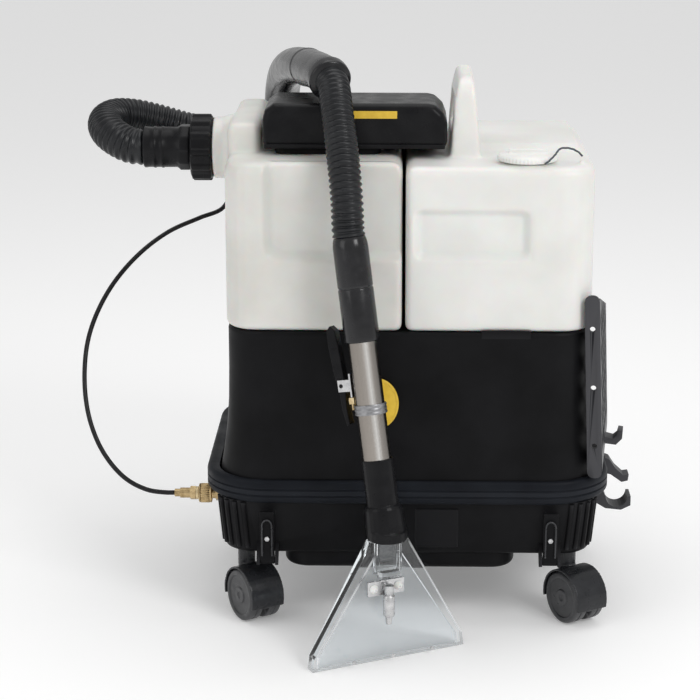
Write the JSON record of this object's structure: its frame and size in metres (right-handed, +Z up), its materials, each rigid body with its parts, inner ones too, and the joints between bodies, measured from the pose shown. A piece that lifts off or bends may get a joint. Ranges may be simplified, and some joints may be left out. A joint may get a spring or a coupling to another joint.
{
  "type": "carpet cleaner machine",
  "caption": "Spray-extraction carpet cleaner on casters with white recovery and solution tanks, black suction head and hose, brass-coupled solution line and a clear-headed upholstery wand.",
  "frame": {"origin": "on the floor, under the middle of the bounding box of everything except the hoses, the line and the tether", "axes": "+X to the machine's right seen from the front, +Y to its back, +Z up"},
  "size_m": [0.7014, 0.6086, 0.6957],
  "materials": {
    "black_shell": "fine-textured rotomoulded polyethylene, satin",
    "belt": "dense bumper rubber, grooved, satin",
    "charcoal": "moulded nylon, semi gloss",
    "wheel": "moulded nylon wheel, semi gloss",
    "head_black": "moulded ABS, satin",
    "rack": "moulded polypropylene, satin",
    "recovery_tank": "milky polyethylene, slightly translucent",
    "solution_tank": "milky polyethylene, slightly translucent",
    "white_trim": "moulded polypropylene, satin",
    "yellow": "plain printed plastic, semi gloss",
    "rubber": "matt rubber",
    "hose": "corrugated EVA hose, satin",
    "line": "smooth hydraulic line, satin",
    "tether": "thin vinyl cord",
    "grip": "smooth glossy plastic",
    "band": "satin band",
    "steel": "satin stainless",
    "wand_steel": "polished stainless tube",
    "motor_metal": "cast and spun aluminium",
    "brass": "turned brass, slightly tarnished",
    "clear": "clear moulded acrylic"
  },
  "bodies": {
    "machine": {"base_tray": "black_shell", "bumper_belt": "belt", "body_housing": "black_shell", "deck_plate": "steel", "vacuum_motor": "motor_metal", "pump": "motor_metal", "suction_duct": "black_shell", "exhaust_grille": "charcoal", "switch_plate": "charcoal", "power_inlet": "rubber", "recovery_tank": "recovery_tank", "suction_head": "head_black", "head_gasket": "rubber", "head_label": "yellow", "float_cage": "white_trim", "hose_cuff": "head_black", "suction_hose": "hose", "hose_elbow": "head_black", "suction_hose_front": "hose", "hose_hook": "steel", "solution_tank": "solution_tank", "cap_tether": "tether", "coupler_plate": "brass", "coupler_socket": "brass", "coupler_plug": "brass", "solution_line": "line", "side_rack": "rack", "belt_clip": "rack", "wand_cradle": "rack", "front_badge": "yellow", "nozzle": "clear", "jet_bracket": "steel", "spray_jet": "steel", "nozzle_boot": "grip", "wand_tube": "wand_steel", "wand_grip": "grip", "tube_band": "band", "lever_bracket": "steel", "spray_valve": "brass", "caster_socket_front_left": "white_trim", "caster_socket_front_right": "white_trim", "caster_socket_rear_left": "white_trim", "caster_socket_rear_right": "white_trim"},
    "hose_ring_nut": {"hose_ring_nut": "head_black"},
    "coupler_sleeve": {"coupler_sleeve": "brass"},
    "filler_cap": {"filler_cap": "white_trim"},
    "motor_switch": {"motor_switch": "white_trim"},
    "pump_switch": {"pump_switch": "white_trim"},
    "float_ball": {"float_ball": "yellow"},
    "latch_left": {"latch_left": "black_shell"},
    "latch_right": {"latch_right": "black_shell"},
    "trigger_lever": {"trigger_lever": "grip"},
    "caster_front_left": {"caster_hood_front_left": "charcoal"},
    "wheels_front_left": {"caster_wheels_front_left": "wheel"},
    "caster_front_right": {"caster_hood_front_right": "charcoal"},
    "wheels_front_right": {"caster_wheels_front_right": "wheel"},
    "caster_rear_left": {"caster_hood_rear_left": "charcoal"},
    "wheels_rear_left": {"caster_wheels_rear_left": "wheel"},
    "caster_rear_right": {"caster_hood_rear_right": "charcoal"},
    "wheels_rear_right": {"caster_wheels_rear_right": "wheel"}
  },
  "joints": [
    {"name": "caster_swivel_front_left", "type": "hinge", "parent": "machine", "child": "caster_front_left", "pos_m": [-0.1767, -0.11173, 0.0926], "axis": [0, 0, 1], "continuous": true},
    {"name": "wheel_roll_front_left", "type": "hinge", "parent": "caster_front_left", "child": "wheels_front_left", "pos_m": [-0.1669, -0.12683, 0.0325], "axis": [0.8387, 0.5446, 0], "continuous": true},
    {"name": "caster_swivel_front_right", "type": "hinge", "parent": "machine", "child": "caster_front_right", "pos_m": [0.2253, -0.11173, 0.0926], "axis": [0, 0, 1], "continuous": true},
    {"name": "wheel_roll_front_right", "type": "hinge", "parent": "caster_front_right", "child": "wheels_front_right", "pos_m": [0.2351, -0.12683, 0.0325], "axis": [0.8387, 0.5446, 0], "continuous": true},
    {"name": "caster_swivel_rear_left", "type": "hinge", "parent": "machine", "child": "caster_rear_left", "pos_m": [-0.1767, 0.16827, 0.0926], "axis": [0, 0, 1], "continuous": true},
    {"name": "wheel_roll_rear_left", "type": "hinge", "parent": "caster_rear_left", "child": "wheels_rear_left", "pos_m": [-0.1669, 0.15317, 0.0325], "axis": [0.8387, 0.5446, 0], "continuous": true},
    {"name": "caster_swivel_rear_right", "type": "hinge", "parent": "machine", "child": "caster_rear_right", "pos_m": [0.2253, 0.16827, 0.0926], "axis": [0, 0, 1], "continuous": true},
    {"name": "wheel_roll_rear_right", "type": "hinge", "parent": "caster_rear_right", "child": "wheels_rear_right", "pos_m": [0.2351, 0.15317, 0.0325], "axis": [0.8387, 0.5446, 0], "continuous": true},
    {"name": "trigger_squeeze", "type": "hinge", "parent": "machine", "child": "trigger_lever", "pos_m": [-0.05137, -0.20734, 0.32583], "axis": [0.4257, 0.8991, -0.1019], "range_deg": [0, 7], "stiffness_Nm_per_rad": 0.5, "springref_deg": -8.59},
    {"name": "latch_left_swing", "type": "hinge", "parent": "machine", "child": "latch_left", "pos_m": [-0.1477, -0.15873, 0.0866], "axis": [1, 0, 0], "range_deg": [0, 100]},
    {"name": "latch_right_swing", "type": "hinge", "parent": "machine", "child": "latch_right", "pos_m": [0.2003, -0.15873, 0.0866], "axis": [1, 0, 0], "range_deg": [0, 100]},
    {"name": "ring_nut_turn", "type": "hinge", "parent": "machine", "child": "hose_ring_nut", "pos_m": [-0.2357, 0.02827, 0.5704], "axis": [1, 0, 0], "continuous": true},
    {"name": "coupler_sleeve_pull", "type": "slide", "parent": "machine", "child": "coupler_sleeve", "axis": [1, 0, 0], "range_m": [0, 0.0045], "stiffness_N_per_m": 400, "springref_m": -0.002},
    {"name": "filler_cap_turn", "type": "hinge", "parent": "machine", "child": "filler_cap", "pos_m": [0.1653, -0.10973, 0.5794], "axis": [0, 0, 1], "range_deg": [0, 90]},
    {"name": "motor_switch_rock", "type": "hinge", "parent": "machine", "child": "motor_switch", "pos_m": [0.1023, 0.21306, 0.274], "axis": [1, 0, 0], "range_deg": [-16, 0]},
    {"name": "pump_switch_rock", "type": "hinge", "parent": "machine", "child": "pump_switch", "pos_m": [0.1363, 0.21306, 0.274], "axis": [1, 0, 0], "range_deg": [-16, 0]},
    {"name": "float_ball_rise", "type": "slide", "parent": "machine", "child": "float_ball", "axis": [0, 0, 1], "range_m": [0, 0.034]}
  ]
}
